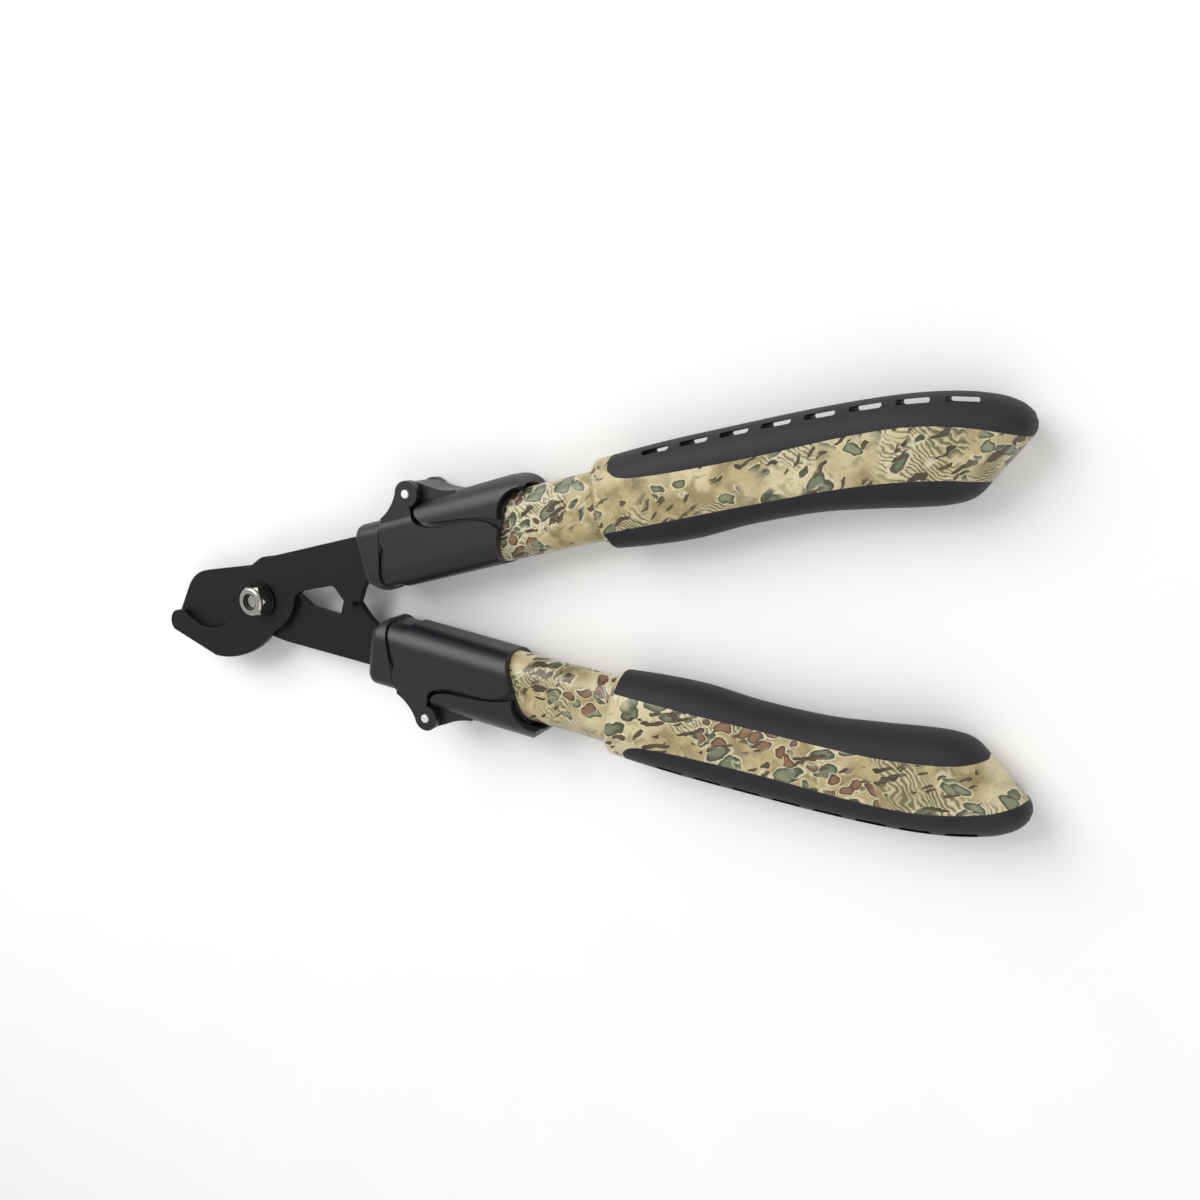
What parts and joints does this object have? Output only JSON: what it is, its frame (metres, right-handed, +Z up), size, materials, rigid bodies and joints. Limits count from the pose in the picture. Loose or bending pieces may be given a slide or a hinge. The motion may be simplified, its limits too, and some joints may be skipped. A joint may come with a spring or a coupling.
{
  "type": "telescoping bypass cutters",
  "caption": "Compact hand cutters with a hooked counter-blade, a curved bypass blade on one bolt, and clamp-locked telescoping handles with long rubber grips.",
  "frame": {"origin": "middle of the footprint, on the plane the closed tool lies on", "axes": "+X from the jaws towards the grips, +Y towards the hooked jaw's handle, +Z up along the pivot towards the nut"},
  "size_m": [0.4029, 0.1578, 0.026],
  "materials": {
    "jaw_coating": "matte black coating on hardened steel",
    "bright_steel": "bright zinc plate",
    "washer_steel": "plain steel",
    "dark_tube": "black coated steel tube",
    "black_plastic": "satin moulded nylon",
    "camo_tube": "printed camouflage film, satin lacquer",
    "camo_shell": "printed camouflage film, satin lacquer",
    "grip_rubber": "charcoal thermoplastic rubber"
  },
  "bodies": {
    "hook_side": {"hook_jaw": "jaw_coating", "pivot_bolt": "bright_steel", "pivot_nut": "bright_steel", "front_washer": "washer_steel", "back_washer": "washer_steel", "pivot_bush": "washer_steel", "upper_jaw_packing": "black_plastic", "upper_rivet_set": "bright_steel", "upper_inner_tube": "dark_tube", "upper_rear_bush": "black_plastic", "upper_ferrule": "black_plastic"},
    "blade_side": {"blade_jaw": "jaw_coating", "lower_jaw_packing": "black_plastic", "lower_rivet_set": "bright_steel", "lower_inner_tube": "dark_tube", "lower_rear_bush": "black_plastic", "lower_ferrule": "black_plastic"},
    "upper_handle": {"upper_collar": "black_plastic", "upper_clamp_shoe": "black_plastic", "upper_lever_pin": "bright_steel", "upper_outer_tube": "camo_tube", "upper_grip_shell": "camo_shell", "upper_outer_pad": "grip_rubber", "upper_inner_pad": "grip_rubber"},
    "lower_handle": {"lower_collar": "black_plastic", "lower_clamp_shoe": "black_plastic", "lower_lever_pin": "bright_steel", "lower_outer_tube": "camo_tube", "lower_grip_shell": "camo_shell", "lower_outer_pad": "grip_rubber", "lower_inner_pad": "grip_rubber"},
    "upper_lever": {"upper_cam_lever": "black_plastic"},
    "lower_lever": {"lower_cam_lever": "black_plastic"}
  },
  "joints": [
    {"name": "jaw_pivot", "type": "hinge", "parent": "hook_side", "child": "blade_side", "pos_m": [-0.14, 0, 0.013], "axis": [0, 0, -1], "range_deg": [0, 55]},
    {"name": "upper_extension", "type": "slide", "parent": "hook_side", "child": "upper_handle", "axis": [0.9823, 0.1874, 0], "range_m": [0, 0.075]},
    {"name": "lower_extension", "type": "slide", "parent": "blade_side", "child": "lower_handle", "axis": [0.9823, -0.1874, 0], "range_m": [0, 0.075]},
    {"name": "upper_clamp_lever", "type": "hinge", "parent": "upper_handle", "child": "upper_lever", "pos_m": [-0.04448, 0.04897, 0.013], "axis": [0, 0, 1], "range_deg": [0, 100]},
    {"name": "lower_clamp_lever", "type": "hinge", "parent": "lower_handle", "child": "lower_lever", "pos_m": [-0.04448, -0.04897, 0.013], "axis": [0, 0, -1], "range_deg": [0, 100]}
  ]
}
